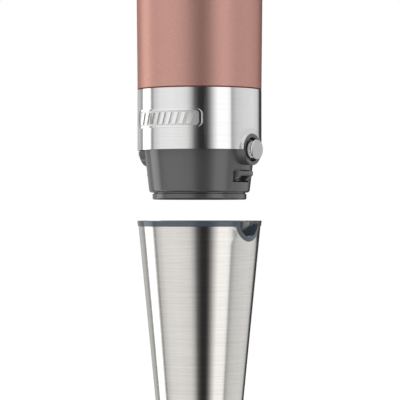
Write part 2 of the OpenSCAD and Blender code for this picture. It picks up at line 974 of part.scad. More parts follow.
module board_parts() {
    back = board_y + board_t + 0.02;
    color([0.55, 0.55, 0.58]) {
        translate([-15, back, board_z + 4])
            cube([30, 3, 14]);
        for (i = [0 : 5])
            translate([-15 + 5.6 * i, back + 3 - eps, board_z + 4])
                cube([1.6, 8, 14]);
        translate([-10, back + 5, board_z + 28])
            rotate([90, 0, 0])
                cylinder(r = 5, h = 5);
        translate([2, back, board_z + 23])
            cube([13, 7, 10]);
    }
}

module key_switches() {
    color([0.1, 0.1, 0.12])
        for (z = [power_key_z, boost_key_z])
            translate([-5, board_y - switch_d, z - 4])
                cube([10, switch_d - 0.02, 8]);
}

module speed_pot() {
    color([0.3, 0.45, 0.6])
        difference() {
            union() {
                translate([-8, dial_y - 8, pot_z])
                    cube([16, 16, pot_h]);
                translate([0, dial_y, pot_z + pot_h - eps])
                    cylinder(r = 4.2, h = 3);
            }
            translate([0, dial_y, pot_z + 1])
                cylinder(r = 3 + slip, h = pot_h + 4);
        }
}

module pot_spindle() {
    color([0.8, 0.8, 0.8])
        translate([0, dial_y, pot_z + 1.2])
            cylinder(r = 3, h = dial_z + dial_h - 4.6 - pot_z - 1.2);
}

// ---------- release mechanism ----------

// A button: a shank in the boss, a tapered side, a groove and a bevelled face
module release_button() {
    length = button_x - slider_x - slider_t;
    shank_r = button_r + button_skirt;
    stem_r = button_r - 0.7;
    cap_low = length - 0.9;
    bevel = 0.3;
    color([0.72, 0.72, 0.73])
        rotate([0, 90, 0])
            translate([-band_z, 0, slider_x + slider_t])
                rotate_extrude()
                    polygon([
                        [0, 0], [shank_r, 0], [shank_r, length - button_proud - 1.5],
                        [stem_r, length - button_proud - 1.2], [stem_r, cap_low - 0.9],
                        [stem_r - 0.8, cap_low - 0.9], [stem_r - 0.8, cap_low],
                        [button_r - 0.1, cap_low], [button_r, cap_low + 0.1],
                        [button_r, length - bevel], [button_r - bevel, length], [0, length]
                    ]);
}

module release_slider() {
    color([0.3, 0.3, 0.31])
        difference() {
            translate([slider_x, -slider_w / 2, tongue_low_z])
                cube([slider_t, slider_w, slider_top_z - tongue_low_z]);
            x_rod(spring_r + 0.6, slider_x - 1, slider_x + 1, band_z);
        }
}

// The tongue's nose follows a cylinder about Z, and its underside is a ramp with a pocket
module snap_tongue() {
    nose_h = 1.4;
    start = slider_x + slider_t + 0.02;
    ramp_end = cone_r(tongue_low_z) - 1.2;
    color([0.3, 0.3, 0.31])
        difference() {
            intersection() {
                translate([0, tongue_w / 2, 0])
                    rotate([90, 0, 0])
                        linear_extrude(height = tongue_w)
                            polygon([
                                [start, tongue_top_z],
                                [tongue_x + 2, tongue_top_z],
                                [tongue_x + 2, tongue_top_z - nose_h],
                                [tongue_x, tongue_top_z - nose_h],
                                [ramp_end, tongue_low_z],
                                [start, tongue_low_z]
                            ]);
                cylinder(r = tongue_x, h = 2 * band_z);
            }
            translate([ramp_end - 1.5, -tongue_w * 0.3, tongue_low_z - 1])
                cube([10, tongue_w * 0.6, tongue_h - 1.2]);
        }
}

// A coil spring along X, swept as one polyhedron
module release_spring() {
    sides = 8;
    steps = 16 * spring_turns;
    length = slider_x + 1 - spring_seat_x - 2 * spring_wire_r - 0.1;
    function spot(i, k) =
        let (
            turn = 360 * spring_turns * i / steps,
            a = 360 * k / sides,
            r = spring_r + spring_wire_r * cos(a)
        ) [
            spring_seat_x + spring_wire_r + 0.05 + length * i / steps + spring_wire_r * sin(a),
            r * cos(turn),
            band_z + r * sin(turn)
        ];
    points = [for (i = [0 : steps], k = [0 : sides - 1]) spot(i, k)];
    walls = [
        for (i = [0 : steps - 1], k = [0 : sides - 1])
            let (a = i * sides + k, b = i * sides + (k + 1) % sides)
                each [[a, b, b + sides], [a, b + sides, a + sides]]
    ];
    first = [for (k = [sides - 1 : -1 : 0]) k];
    last = [for (k = [0 : sides - 1]) steps * sides + k];
    color([0.7, 0.7, 0.72])
        polyhedron(points = points, faces = concat(walls, [first, last]));
}

module release_button_right() {
    release_button();
}

module release_slider_right() {
    release_slider();
}

module snap_tongue_right() {
    snap_tongue();
}

module release_spring_right() {
    release_spring();
}

module release_button_left() {
    rotate([0, 0, 180])
        release_button();
}

module release_slider_left() {
    rotate([0, 0, 180])
        release_slider();
}

module snap_tongue_left() {
    rotate([0, 0, 180])
        snap_tongue();
}

module release_spring_left() {
    rotate([0, 0, 180])
        release_spring();
}

// ---------- shaft unit ----------

function shell_outline() = concat(
    [[shell_top_r, rim_z - seat]],
    curve([
        [cone_end_r, cone_end_z],
        [cone_end_r - 10 * shell_slope, cone_end_z - 10],
        [neck_r, guard_h + 12],
        [neck_r, guard_h]
    ], 12)
);

module shaft_shell() {
    outer = shell_outline();
    color([0.77, 0.76, 0.74])
        difference() {
            turned(concat(outer, reversed(inset(outer, -shell_wall))));
            both_sides()
                x_rod(notch_r + lip_w + seat, neck_r, band_r + 2, shaft_l);
        }
}

function guard_outline() =
    let (
        turn = [(neck_r + guard_r) / 2, guard_h * 0.6],
        ease = [guard_r - neck_r, -guard_h * 0.26] / 4
    ) concat(
        curve([[neck_r, guard_h - 0.05], [neck_r, guard_h * 0.8], turn - ease, turn], 8),
        curve([turn + ease / 20, turn + ease, [guard_r, guard_h * 0.38], [guard_r, guard_h * 0.16]], 8),
        [[guard_r, 0]]
    );

module blade_guard() {
    outer = guard_outline();
    color([0.77, 0.76, 0.74])
        difference() {
            turned(concat(outer, reversed(inset(outer, -guard_wall))));
            for (i = [0 : guard_arches - 1])
                rotate([0, 0, i * 360 / guard_arches])
                    x_rod(arch_r, neck_r, guard_r + 2, -1);
        }
}

module socket_liner() {
    inner_top_r = cone_top_r + gap;
    inner_low_r = cone_low_r + gap;
    shelf_z = cone_low_z - pull - 0.8;
    color([0.26, 0.3, 0.34])
        difference() {
            union() {
                turned([
                    [0, liner_floor_z], [liner_r(liner_floor_z), liner_floor_z],
                    [liner_r(rim_z), rim_z], [rim_r - 0.35, rim_z], [rim_r, shaft_l - 0.3],
                    [rim_r - 0.3, shaft_l], [inner_top_r + 0.4, shaft_l], [inner_top_r, shaft_l - 0.5],
                    [inner_low_r, shelf_z], [spigot_r + gap, shelf_z - 0.4],
                    [spigot_r + gap, liner_floor_top_z], [0, liner_floor_top_z]
                ]);
                translate([0, 0, column_low_z])
                    cylinder(r = column_r, h = column_top_z - column_low_z);
                both_sides()
                    notch_lip();
            }
            both_sides() {
                x_rod(notch_r, neck_r, band_r + 3, shaft_l);
                intersection() {
                    translate([spigot_r - 2, -slider_w / 2 - 0.2, slot_low_z])
                        cube([band_r, slider_w + 0.4, slot_top_z - slot_low_z]);
                    translate([0, 0, slot_low_z - 1])
                        cylinder(
                            r1 = liner_r(slot_low_z - 1) + eps,
                            r2 = liner_r(slot_top_z + 1) + eps,
                            h = slot_top_z - slot_low_z + 2
                        );
                }
            }
            translate([0, 0, column_low_z - eps])
                cylinder(r = spindle_r + 1, h = column_top_z - column_low_z + 2 * eps);
            translate([0, 0, column_top_z - bush_h])
                cylinder(r = bush_r, h = bush_h + eps);
        }
}

// The plastic edge that follows a notch through the steel shell
module notch_lip() {
    intersection() {
        translate([0, 0, lip_low_z])
            difference() {
                cylinder(
                    r1 = shell_r(lip_low_z) + 0.25, r2 = shell_r(shaft_l) + 0.25,
                    h = shaft_l - lip_low_z
                );
                cylinder(
                    r1 = socket_inner_r(lip_low_z), r2 = socket_inner_r(shaft_l), h = shaft_l - lip_low_z
                );
            }
        x_rod(notch_r + lip_w, neck_r, band_r + 3, shaft_l);
    }
}

module upper_bush() {
    color([0.75, 0.65, 0.4])
        ring(bush_r - 0.02, spindle_r + slip, column_top_z - bush_h + 0.05, bush_h - 0.05);
}

module bearing_housing() {
    color([0.7, 0.7, 0.7])
        difference() {
            union() {
                translate([0, 0, housing_z])
                    cylinder(r = housing_r, h = housing_h);
                translate([0, 0, guard_h - 8])
                    cylinder(r = neck_r - 1.15, h = 8);
            }
            translate([0, 0, housing_z - eps])
                cylinder(r = bush_r, h = bush_h + seal_h + eps);
            translate([0, 0, housing_z])
                cylinder(r = spindle_r + 0.8, h = housing_h + 1);
        }
}

module lower_bush() {
    color([0.75, 0.65, 0.4])
        ring(bush_r - 0.02, spindle_r + slip, housing_z + seal_h, bush_h - 0.05);
}

module shaft_seal() {
    color([0.1, 0.1, 0.1])
        ring(bush_r - 0.02, spindle_r + slip, housing_z + 0.1, seal_h - 0.15);
}

// ---------- blade drive ----------

module spindle() {
    color([0.72, 0.72, 0.74])
        translate([0, 0, hub_z - 6])
            cylinder(r = spindle_r, h = spline_z + 2 - hub_z + 6);
}

module spline_pin() {
    color([0.15, 0.15, 0.16])
        difference() {
            union() {
                translate([0, 0, spline_z - 3])
                    cylinder(r = 6, h = 3);
                translate([0, 0, spline_z - eps])
                    linear_extrude(height = spline_l)
                        spline_outline(0);
            }
            translate([0, 0, spline_z - 3 - eps])
                cylinder(r = spindle_r + 0.01, h = 5 + 2 * eps);
        }
}

module retaining_clip() {
    color([0.5, 0.5, 0.52])
        difference() {
            ring(spindle_r + 2, spindle_r + 0.01, column_low_z - 1.2, 0.8);
            translate([0, -1, column_low_z - 2])
                cube([10, 2, 3]);
        }
}

// One wing: a swept outline, bent up or down from the edge of the hub plate and pitched a little
module wing(bend) {
    reach = blade_reach - wing_root;
    translate([wing_root, 0, 0])
        rotate([0, -bend, 0])
            rotate([8, 0, 0])
                translate([0, 0, -0.6])
                    linear_extrude(height = 1.2)
                        polygon([
                            [-0.5, -3.6], [reach * 0.45, -4.4], [reach * 0.82, -2.4],
                            [reach, 2.6], [reach * 0.6, 3.4], [-0.5, 3.6]
                        ]);
}

module blade() {
    color([0.8, 0.8, 0.82])
        difference() {
            translate([0, 0, blade_z])
                union() {
                    translate([0, 0, -0.8])
                        cylinder(r = wing_root + 1, h = 1.6);
                    for (a = [0, 180]) {
                        rotate([0, 0, a])
                            wing(20);
                        rotate([0, 0, a + 90])
                            wing(-18);
                    }
                }
            translate([0, 0, blade_z - 3])
                cylinder(r = spindle_r + 0.01, h = 6);
        }
}

module blade_hub() {
    color([0.7, 0.7, 0.72])
        ring(hub_r, spindle_r + 0.01, blade_z + 0.82, housing_z - blade_z - 1.3);
}

module blade_nut() {
    color([0.7, 0.7, 0.72])
        difference() {
            translate([0, 0, blade_z - 5])
                cylinder(r = 5, h = 4.18, $fn = 6);
            translate([0, 0, blade_z - 6])
                cylinder(r = spindle_r + 0.01, h = 6);
        }
}

grip_sleeve();
steel_band();
badge();
coupling_collar();
chassis_front();
chassis_rear();
chassis_screws();
motor_bracket();
bracket_screws();
damper_lower();
damper_upper();
motor_can();
field_magnets();
motor_end_cap();
lower_bearing();
upper_bearing();
carbon_brushes();
brush_holders();
control_board();
board_parts();
key_switches();
speed_pot();
key_panel();
top_cap();
cord_gland();
release_spring_right();
release_spring_left();
rotor_shaft();
armature_core();
armature_windings();
commutator();
cooling_fan();
drive_socket();
release_button_right();
release_slider_right();
snap_tongue_right();
release_button_left();
release_slider_left();
snap_tongue_left();
power_key();
boost_key();
speed_dial();
pot_spindle();
shaft_shell();
blade_guard();
socket_liner();
upper_bush();
bearing_housing();
lower_bush();
shaft_seal();
spindle();
spline_pin();
retaining_clip();
blade();
blade_hub();
blade_nut();
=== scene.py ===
"""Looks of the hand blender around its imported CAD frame.

The camera looks at the front-right, level with the shaft's rim. Every finish is a node material in the
row's own coordinates, so it rides with its body.
"""
import json
import math

import bmesh
import bpy
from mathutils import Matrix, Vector


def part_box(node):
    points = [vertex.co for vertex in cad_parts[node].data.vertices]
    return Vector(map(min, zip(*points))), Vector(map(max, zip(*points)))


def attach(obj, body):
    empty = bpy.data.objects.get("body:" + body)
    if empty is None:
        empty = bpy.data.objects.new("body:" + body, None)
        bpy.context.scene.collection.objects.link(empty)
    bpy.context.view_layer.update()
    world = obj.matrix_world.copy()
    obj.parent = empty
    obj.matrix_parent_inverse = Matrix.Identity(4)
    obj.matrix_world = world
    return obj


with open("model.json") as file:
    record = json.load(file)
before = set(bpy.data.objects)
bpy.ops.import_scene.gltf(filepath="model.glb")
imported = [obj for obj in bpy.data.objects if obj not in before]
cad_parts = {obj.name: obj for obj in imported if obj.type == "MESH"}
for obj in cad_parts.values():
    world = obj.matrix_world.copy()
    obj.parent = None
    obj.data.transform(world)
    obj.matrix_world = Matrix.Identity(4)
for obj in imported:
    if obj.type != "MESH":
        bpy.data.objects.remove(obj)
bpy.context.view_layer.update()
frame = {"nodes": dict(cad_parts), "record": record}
nodes = frame["nodes"]
record = frame["record"]

MM = 0.001
# Degrees from straight in front of the badge towards the right release button
VIEW_AZIMUTH = 35.0
WHITE = (1.0, 1.0, 1.0, 1.0)


def box(node):
    """Lowest and highest corner of a CAD node at rest."""
    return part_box(node)


def middle_z(node):
    """The height of a CAD node's middle at rest."""
    low, high = box(node)
    return (low.z + high.z) / 2


def srgb(r, g, b):
    """A display colour of 0 to 255 as the linear colour that nodes use."""
    def one(c):
        c /= 255
        return c / 12.92 if c <= 0.04045 else ((c + 0.055) / 1.055) ** 2.4
    return one(r), one(g), one(b), 1.0


# ---------- node helpers ----------

class Graph:
    """The node tree of a material or a world, and short ways to add nodes to it."""

    def __init__(self, owner):
        owner.use_nodes = True
        self.tree = owner.node_tree
        self.tree.nodes.clear()

    def add(self, kind, inputs=None, **props):
        node = self.tree.nodes.new("ShaderNode" + kind)
        for key, value in props.items():
            setattr(node, key, value)
        for key, value in (inputs or {}).items():
            self.put(node, key, value)
        return node

    def put(self, node, key, value):
        """Sets an input, given by name or by number, or links it where the value is an output."""
        if isinstance(key, str):
            target = next(s for s in node.inputs if s.name.lower() == key.lower())
        else:
            target = node.inputs[key]
        if isinstance(value, bpy.types.NodeSocket):
            self.tree.links.new(value, target)
        else:
            target.default_value = value

    def math(self, operation, *values):
        return self.add("Math", dict(enumerate(values)), operation=operation).outputs[0]

    def length(self, a, b):
        """The length of a flat vector with the parts a and b."""
        return self.math("SQRT", self.math("ADD", self.math("MULTIPLY", a, a), self.math("MULTIPLY", b, b)))

    def range(self, value, low, high, to_low=0.0, to_high=1.0):
        """Carries value from the span low to high over to another span, and holds it at the ends."""
        return self.add("MapRange", {
            "Value": value, "From Min": low, "From Max": high, "To Min": to_low, "To Max": to_high,
        }).outputs[0]

    def mix(self, factor, a, b, blend="MIX"):
        node = self.add("Mix", data_type="RGBA", blend_type=blend)
        for key, value in ((0, factor), (6, a), (7, b)):
            self.put(node, key, value)
        return node.outputs[2]


class Finish(Graph):
    """A material with one Principled shader, laid out in its piece's own coordinates."""

    def __init__(self, name, **settings):
        self.name = name
        self.material = bpy.data.materials.new(name)
        super().__init__(self.material)
        self.shader = self.add("BsdfPrincipled")
        self.add("OutputMaterial", {"Surface": self.shader.outputs["BSDF"]})
        self.place = self.add("TexCoord").outputs["Object"]
        self.use(**settings)

    def use(self, **inputs):
        """Sets or links inputs of the Principled shader."""
        for key, value in inputs.items():
            self.put(self.shader, key.replace("_", " "), value)

    def axis(self, index):
        return self.add("SeparateXYZ", {0: self.place}).outputs[index]

    def stretched(self, scale):
        """The piece's coordinates, multiplied axis by axis."""
        return self.add("VectorMath", {0: self.place, 1: scale}, operation="MULTIPLY").outputs[0]

    def noise(self, scale, detail=2.0, rough=0.5):
        """Noise with scale features to the metre, for all axes alike or for each."""
        where = self.stretched(scale if hasattr(scale, "__len__") else (scale,) * 3)
        node = self.add("TexNoise", {"Vector": where, "Scale": 1.0, "Detail": detail, "Roughness": rough})
        return node.outputs["Fac"]

    def cells(self, scale):
        return self.add("TexVoronoi", {"Vector": self.stretched((scale,) * 3), "Scale": 1.0}).outputs

    def tone(self, colour, value, amount):
        """colour, lighter and darker by amount as value goes from 0 to 1."""
        low = tuple(c * (1 - amount) for c in colour[:3]) + (1.0,)
        high = tuple(min(1.0, c * (1 + amount)) for c in colour[:3]) + (1.0,)
        return self.mix(value, low, high)

    def bump(self, height, depth, strength=1.0):
        node = self.add("Bump", {"Height": height, "Distance": depth, "Strength": strength})
        return node.outputs["Normal"]


# ---------- finishes ----------

def round_button(f):
    """Distance from the axis of the release buttons."""
    return f.length(f.axis(1), f.math("SUBTRACT", f.axis(2), middle_z("release_button_right")))


def brushed(name, colour, rough=0.1, coarse=1300, depth=5e-6, along=30.0, spread=0.06, drawn=False):
    """Steel brushed round the Z axis: long level scratches of three widths over a slow cloud. Where it is
    drawn out round the release buttons it is satin."""
    f = Finish(name, Metallic=1.0)
    streak = f.noise((along, along, coarse), 2.0, 0.6)
    lines = f.noise((along * 2.4, along * 2.4, coarse * 3), 2.0, 0.6)
    hair = f.noise((along * 7, along * 7, coarse * 9), 1.0)
    cloud = f.noise((35, 35, 60), 2.0)
    scratch = f.math("MULTIPLY_ADD", lines, 0.33, f.math("MULTIPLY", hair, 0.22))
    scratch = f.math("MULTIPLY_ADD", streak, 0.45, scratch)
    even = f.range(scratch, 0.36, 0.64)
    gloss = f.math("ADD", f.range(even, 0.0, 1.0, rough * 0.85, rough * 1.2),
                   f.range(cloud, 0.3, 0.7, -0.008, 0.008))
    if drawn:
        gloss = f.math("ADD", gloss, f.range(round_button(f), 9.8 * MM, 11.6 * MM, 0.36, 0.0))
    f.use(
        Base_Color=f.tone(colour, even, spread),
        Roughness=gloss,
        Normal=f.bump(scratch, depth),
    )
    return f


def turned(name, colour, rough=0.25):
    """Machined steel with fine turning rings and a slight cloud."""
    f = Finish(name, Metallic=1.0)
    rings = f.noise((300, 300, 9000), 2.0)
    cloud = f.noise(160, 3.0)
    f.use(
        Base_Color=f.tone(colour, cloud, 0.1),
        Roughness=f.range(rings, 0.25, 0.75, rough * 0.7, rough * 1.4),
        Normal=f.bump(rings, 4e-6),
    )
    return f


def moulded(name, colour, rough=0.42, grain=2600, depth=1.2e-5, spread=0.05, ior=1.5):
    """Moulded plastic: a fine spark-eroded grain, slow flow marks and uneven gloss."""
    f = Finish(name, IOR=ior)
    pits = f.cells(grain)["Distance"]
    fine = f.noise(grain * 1.7, 2.0, 0.6)
    flow = f.noise((70, 70, 40), 3.0)
    height = f.math("ADD", f.math("MULTIPLY", pits, 0.6), f.math("MULTIPLY", fine, 0.5))
    shade = f.math("ADD", f.math("MULTIPLY", flow, 0.7), f.math("MULTIPLY", fine, 0.3))
    f.use(
        Base_Color=f.tone(colour, shade, spread),
        Roughness=f.range(flow, 0.3, 0.7, rough * 0.92, rough * 1.1),
        Normal=f.bump(height, depth),
    )
    return f


def rubber(name, colour, rough=0.7):
    """Matt rubber with fine pits, a little dusty."""
    f = Finish(name, IOR=1.45)
    dust = f.noise(900, 4.0, 0.7)
    pits = f.noise(3800, 2.0)
    f.use(
        Base_Color=f.tone(colour, dust, 0.35),
        Roughness=f.range(dust, 0.3, 0.7, rough * 0.9, rough * 1.15),
        Normal=f.bump(pits, 3e-5),
    )
    return f


def metallic_paint():
    """Rose metallic paint: fine flakes under a thin satin clear coat, with a darker lower edge."""
    foot = box("grip_sleeve")[0].z
    f = Finish("sleeve_paint", Metallic=0.86, Coat_Weight=0.05, Coat_Roughness=0.3, Coat_IOR=1.5,
               Specular_Tint=(0.5, 0.4, 0.36, 1.0))
    spark = f.add("SeparateXYZ", {0: f.cells(5200)["Color"]}).outputs[0]
    mottle = f.noise(1500, 3.0, 0.6)
    cloud = f.noise((40, 40, 25), 2.0)
    base = f.tone(srgb(214, 164, 154), spark, 0.10)
    base = f.mix(f.range(mottle, 0.35, 0.65, 0.0, 0.5), base, srgb(196, 152, 138))
    base = f.mix(f.range(cloud, 0.35, 0.65, 0.0, 0.12), base, srgb(222, 160, 154))
    edge = f.range(f.axis(2), foot + 0.55 * MM, foot + 0.2 * MM)
    base = f.mix(edge, base, srgb(176, 84, 84))
    f.use(
        Base_Color=base,
        Roughness=f.range(spark, 0.0, 1.0, 0.35, 0.45),
        Normal=f.bump(f.math("ADD", spark, mottle), 5e-6, 0.6),
    )
    return f


def badge_chrome():
    """Polished raised edges over a satin ground, told apart by their distance from the axis."""
    band = box("steel_band")[1].x
    proud = -box("badge")[0].y - band
    f = Finish("badge_chrome", Metallic=1.0)
    raised = f.range(f.length(f.axis(0), f.axis(1)), band + proud * 0.55, band + proud * 0.8)
    grain = f.noise(7000, 2.0)
    f.use(
        Base_Color=f.mix(raised, srgb(236, 236, 236), srgb(248, 248, 248)),
        Roughness=f.math("ADD", f.range(raised, 0.0, 1.0, 0.42, 0.08),
                         f.range(grain, 0.3, 0.7, -0.02, 0.03)),
        Normal=f.bump(f.math("MULTIPLY", grain, f.math("SUBTRACT", 1.0, raised)), 8e-6),
    )
    return f


def button_steel():
    """Satin on the button's face and polished round its cap. Its stem is a painted highlight, near-white
    and barely metallic, and painted shade makes the groove under the cap and the bore below it black."""
    low, high = box("release_button_right")
    face, shank = high.x, (high.z - low.z) / 2
    f = Finish("button_steel")
    x = f.math("ABSOLUTE", f.axis(0))
    radius = round_button(f)
    satin = f.range(x, face - 0.35 * MM, face - 0.15 * MM)
    cap = f.range(x, face - 0.9 * MM, face - 0.8 * MM)
    # Painted shade: the groove under the cap and the bore below it are masked here and coloured near-black
    groove = f.math("MULTIPLY", f.range(radius, shank - 1.8 * MM, shank - 1.6 * MM, 1.0, 0.0),
                    f.math("SUBTRACT", 1.0, cap))
    bore = f.range(x, face - 3.6 * MM, face - 3.1 * MM, 1.0, 0.0)
    dark = f.math("MAXIMUM", groove, bore)
    grain = f.noise((400, 5200, 400), 3.0, 0.6)
    # Near-white off the face: polished steel round the cap, and a painted highlight on the stem below it
    steel = f.mix(satin, srgb(246, 246, 247), f.tone(srgb(206, 206, 208), grain, 0.05))
    f.use(
        # Painted shade: near-black over the groove and the bore
        Base_Color=f.mix(dark, steel, srgb(20, 20, 21)),
        # Painted highlight: below the cap the steel stem drops to 0.15 metallic, so its near-white colour
        # shows bright under any light
        Metallic=f.range(cap, 0.0, 1.0, 0.15, 1.0),
        Roughness=f.math("ADD", f.range(satin, 0.0, 1.0, 0.12, 0.36),
                         f.range(grain, 0.3, 0.7, -0.03, 0.04)),
        Normal=f.bump(f.math("MULTIPLY", grain, satin), 6e-6),
    )
    return f


def wound_copper():
    """Enamelled copper, laid in turns round the winding."""
    f = Finish("copper", Metallic=0.9)
    across = f.add("CombineXYZ", {0: f.length(f.axis(0), f.axis(1)), 1: f.axis(2)}).outputs[0]
    wire = f.add("TexVoronoi", {"Vector": across, "Scale": 1900.0}, voronoi_dimensions="2D")
    cloud = f.noise(300, 3.0)
    f.use(
        Base_Color=f.tone(srgb(190, 108, 62), cloud, 0.2),
        Roughness=f.range(cloud, 0.3, 0.7, 0.25, 0.4),
        Normal=f.bump(f.math("SUBTRACT", 1.0, wire.outputs["Distance"]), 1e-4),
    )
    return f


def circuit_board():
    """Green lacquer over a net of raised tracks."""
    f = Finish("board", IOR=1.55)
    tracks = f.add("TexVoronoi", {"Vector": f.stretched((330, 0, 330)), "Scale": 1.0},
                   voronoi_dimensions="3D", distance="CHEBYCHEV", feature="DISTANCE_TO_EDGE")
    line = f.range(tracks.outputs["Distance"], 0.03, 0.06, 1.0, 0.0)
    f.use(
        Base_Color=f.mix(line, srgb(30, 92, 58), srgb(58, 128, 76)),
        Roughness=f.range(f.noise(500), 0.3, 0.7, 0.25, 0.36),
        Normal=f.bump(line, 3e-5),
    )
    return f


FINISHES = {f.name: f.material for f in (
    metallic_paint(),
    brushed("band_steel", srgb(240, 240, 240), 0.09, coarse=1700, spread=0.045, drawn=True),
    brushed("shaft_steel", srgb(236, 234, 231), 0.11, coarse=1300, depth=7e-6, spread=0.075),
    badge_chrome(),
    button_steel(),
    moulded("collar_plastic", srgb(69, 69, 70), 0.2, depth=4e-6, ior=1.88),
    moulded("liner_plastic", srgb(66, 78, 88), 0.13, grain=3600, depth=2e-6, ior=1.7),
    moulded("panel_plastic", srgb(46, 46, 48), 0.38),
    moulded("cap_plastic", srgb(60, 60, 62), 0.4),
    moulded("key_plastic", srgb(168, 168, 170), 0.3, grain=4200, depth=4e-6),
    moulded("chassis_plastic", srgb(212, 210, 200), 0.5),
    moulded("inner_plastic", srgb(42, 42, 45), 0.5),
    moulded("component_grey", srgb(128, 132, 138), 0.4, grain=1800),
    moulded("drive_plastic", srgb(150, 34, 28), 0.4),
    moulded("drive_dark", srgb(36, 36, 39), 0.42),
    moulded("carbon", srgb(34, 34, 35), 0.6, grain=5200),
    moulded("magnet", srgb(62, 62, 66), 0.55, grain=1500, depth=3e-5),
    rubber("gland_rubber", srgb(38, 38, 39)),
    rubber("damper_rubber", srgb(30, 30, 30)),
    rubber("seal_rubber", srgb(34, 34, 35)),
    turned("motor_steel", srgb(172, 172, 176), 0.32),
    turned("fastener_steel", srgb(196, 198, 202), 0.24),
    turned("spring_steel", srgb(186, 186, 190), 0.22),
    turned("turned_steel", srgb(206, 206, 208), 0.2),
    brushed("blade_steel", srgb(226, 226, 228), 0.16, coarse=300, along=3000.0),
    turned("bronze", srgb(190, 152, 92), 0.34),
    wound_copper(),
    circuit_board(),
)}

slot_of = {s["node"]: s["material_slot"] for s in record["subparts"]}
for name, node in nodes.items():
    node.data.materials.clear()
    node.data.materials.append(FINISHES[slot_of[name]])

# ---------- detail pieces ----------

def place(name, shape, body, slot):
    """Puts a finished bmesh in the scene as one piece that rides on a body."""
    bmesh.ops.recalc_face_normals(shape, faces=shape.faces[:])
    mesh = bpy.data.meshes.new(name)
    shape.to_mesh(mesh)
    shape.free()
    piece = bpy.data.objects.new(name, mesh)
    bpy.context.scene.collection.objects.link(piece)
    mesh.materials.append(FINISHES[slot])
    mesh.shade_smooth()
    mesh.set_sharp_from_angle(angle=math.radians(40))
    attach(piece, body)


def loft(shape, rings, closed=False):
    """Skins rings of points with the same count. It caps both ends, or joins them where it is closed."""
    loops = [[shape.verts.new(p) for p in ring] for ring in rings]
    count = len(loops[0])
    for one, two in zip(loops, loops[1:] + loops[:1] if closed else loops[1:]):
        for k in range(count):
            shape.faces.new((one[k], one[(k + 1) % count], two[(k + 1) % count], two[k]))
    if not closed:
        shape.faces.new(loops[0][::-1])
        shape.faces.new(loops[-1])


def lathe(name, outline, body, slot, steps=128):
    """A closed outline of (radius, height) turned about Z."""
    shape = bmesh.new()
    rings = []
    for i in range(steps):
        a = 2 * math.pi * i / steps
        rings.append([(r * math.cos(a), r * math.sin(a), z) for r, z in outline])
    loft(shape, rings, closed=True)
    place(name, shape, body, slot)


def radius_near(node, z, reach=0.2 * MM):
    """The largest distance from the Z axis of a node's points within reach of the height z."""
    return max(math.hypot(v.co.x, v.co.y) for v in nodes[node].data.vertices if abs(v.co.z - z) < reach)


def front_surface(node):
    """The front of a key as a function of (x, z, lift): it runs parallel to the sleeve's cone."""
    low, high = box("grip_sleeve")
    low_r, high_r = box("steel_band")[1].x, radius_near("grip_sleeve", high.z)

    def cone(z):
        return low_r + (high_r - low_r) * (z - low.z) / (high.z - low.z)

    key_low, key_high = box(node)
    proud = -key_low.y - cone(key_high.z)

    def at(x, z, lift):
        r = cone(z) + proud + lift
        return Vector((x, -math.sqrt(r * r - x * x), z))

    return at


def raised_line(shape, at, path, width, height):
    """A raised line on a curved front: a low rounded ridge along a path of (x, z), with rounded ends."""
    # Across the line in half widths, and up in heights
    profile = [(-1, -0.6), (-1, 0.5), (-0.75, 0.9), (-0.3, 1), (0.3, 1), (0.75, 0.9), (1, 0.5), (1, -0.6)]
    lengths = [0.0]
    for one, two in zip(path, path[1:]):
        lengths.append(lengths[-1] + math.dist(one, two))
    rings = []
    for i, (x, z) in enumerate(path):
        before, after = path[max(i - 1, 0)], path[min(i + 1, len(path) - 1)]
        dx, dz = after[0] - before[0], after[1] - before[1]
        size = math.hypot(dx, dz)
        nx, nz = -dz / size, dx / size
        end = min(lengths[i], lengths[-1] - lengths[i]) / (width / 2)
        half = width / 2 * (math.sqrt(1 - (1 - end) ** 2) if end < 1 else 1)
        half = max(half, width * 0.12)
        rings.append([at(x + nx * half * u, z + nz * half * u, height * v) for u, v in profile])
    loft(shape, rings)


def power_symbol():
    """The common on symbol, a broken ring with a bar, standing proud of the round key."""
    at, middle = front_surface("power_key"), middle_z("power_key")
    radius, width, height = 2.9 * MM, 0.6 * MM, 0.12 * MM
    gap, steps = 34, 72
    ring = []
    for i in range(steps + 1):
        a = math.radians(90 + gap + (360 - 2 * gap) * i / steps)
        ring.append((radius * math.cos(a), middle + radius * math.sin(a)))
    bar = [(0.0, middle + (0.9 + 3.1 * i / 20) * MM) for i in range(21)]
    shape = bmesh.new()
    for path in (ring, bar):
        raised_line(shape, at, path, width, height)
    place("power_symbol", shape, "power", "panel_plastic")


def boost_ribs():
    """Level grip ribs across the boost key."""
    at, middle = front_surface("boost_key"), middle_z("boost_key")
    pitch, half, width, height = 2.4 * MM, 4.2 * MM, 0.9 * MM, 0.3 * MM
    shape = bmesh.new()
    for k in range(-2, 3):
        path = [(-half + 2 * half * i / 32, middle + k * pitch) for i in range(33)]
        raised_line(shape, at, path, width, height)
    place("boost_ribs", shape, "boost", "key_plastic")


def speed_marks():
    """Raised dots round the dial that grow with the speed, from the pointer's rest place to its end."""
    joint = next(j for j in record["behaviour"]["joints"] if j["name"] == "speed_turn")
    centre = Vector(joint["pos_m"])
    low, high = box("speed_dial")
    cap_top = low.z - 0.6 * MM
    ring_r = (high.x - low.x) / 2 + 3.4 * MM
    span = math.radians(joint["range_deg"][1])
    count, sides = 10, 20
    shape = bmesh.new()
    for i in range(count):
        a = -math.pi / 2 + span * i / (count - 1)
        x, y = centre.x + ring_r * math.cos(a), centre.y + ring_r * math.sin(a)
        size = (0.45 + 0.05 * i) * MM
        # Radius in dot sizes, and height over the cap in millimetres
        dome = [(1, -0.2), (1, 0.1), (0.86, 0.2), (0.5, 0.28), (0.15, 0.3)]
        turns = [2 * math.pi * k / sides for k in range(sides)]
        loft(shape, [[
            (x + size * r * math.cos(t), y + size * r * math.sin(t), cap_top + z * MM) for t in turns
        ] for r, z in dome])
    place("speed_marks", shape, "motor_unit", "key_plastic")


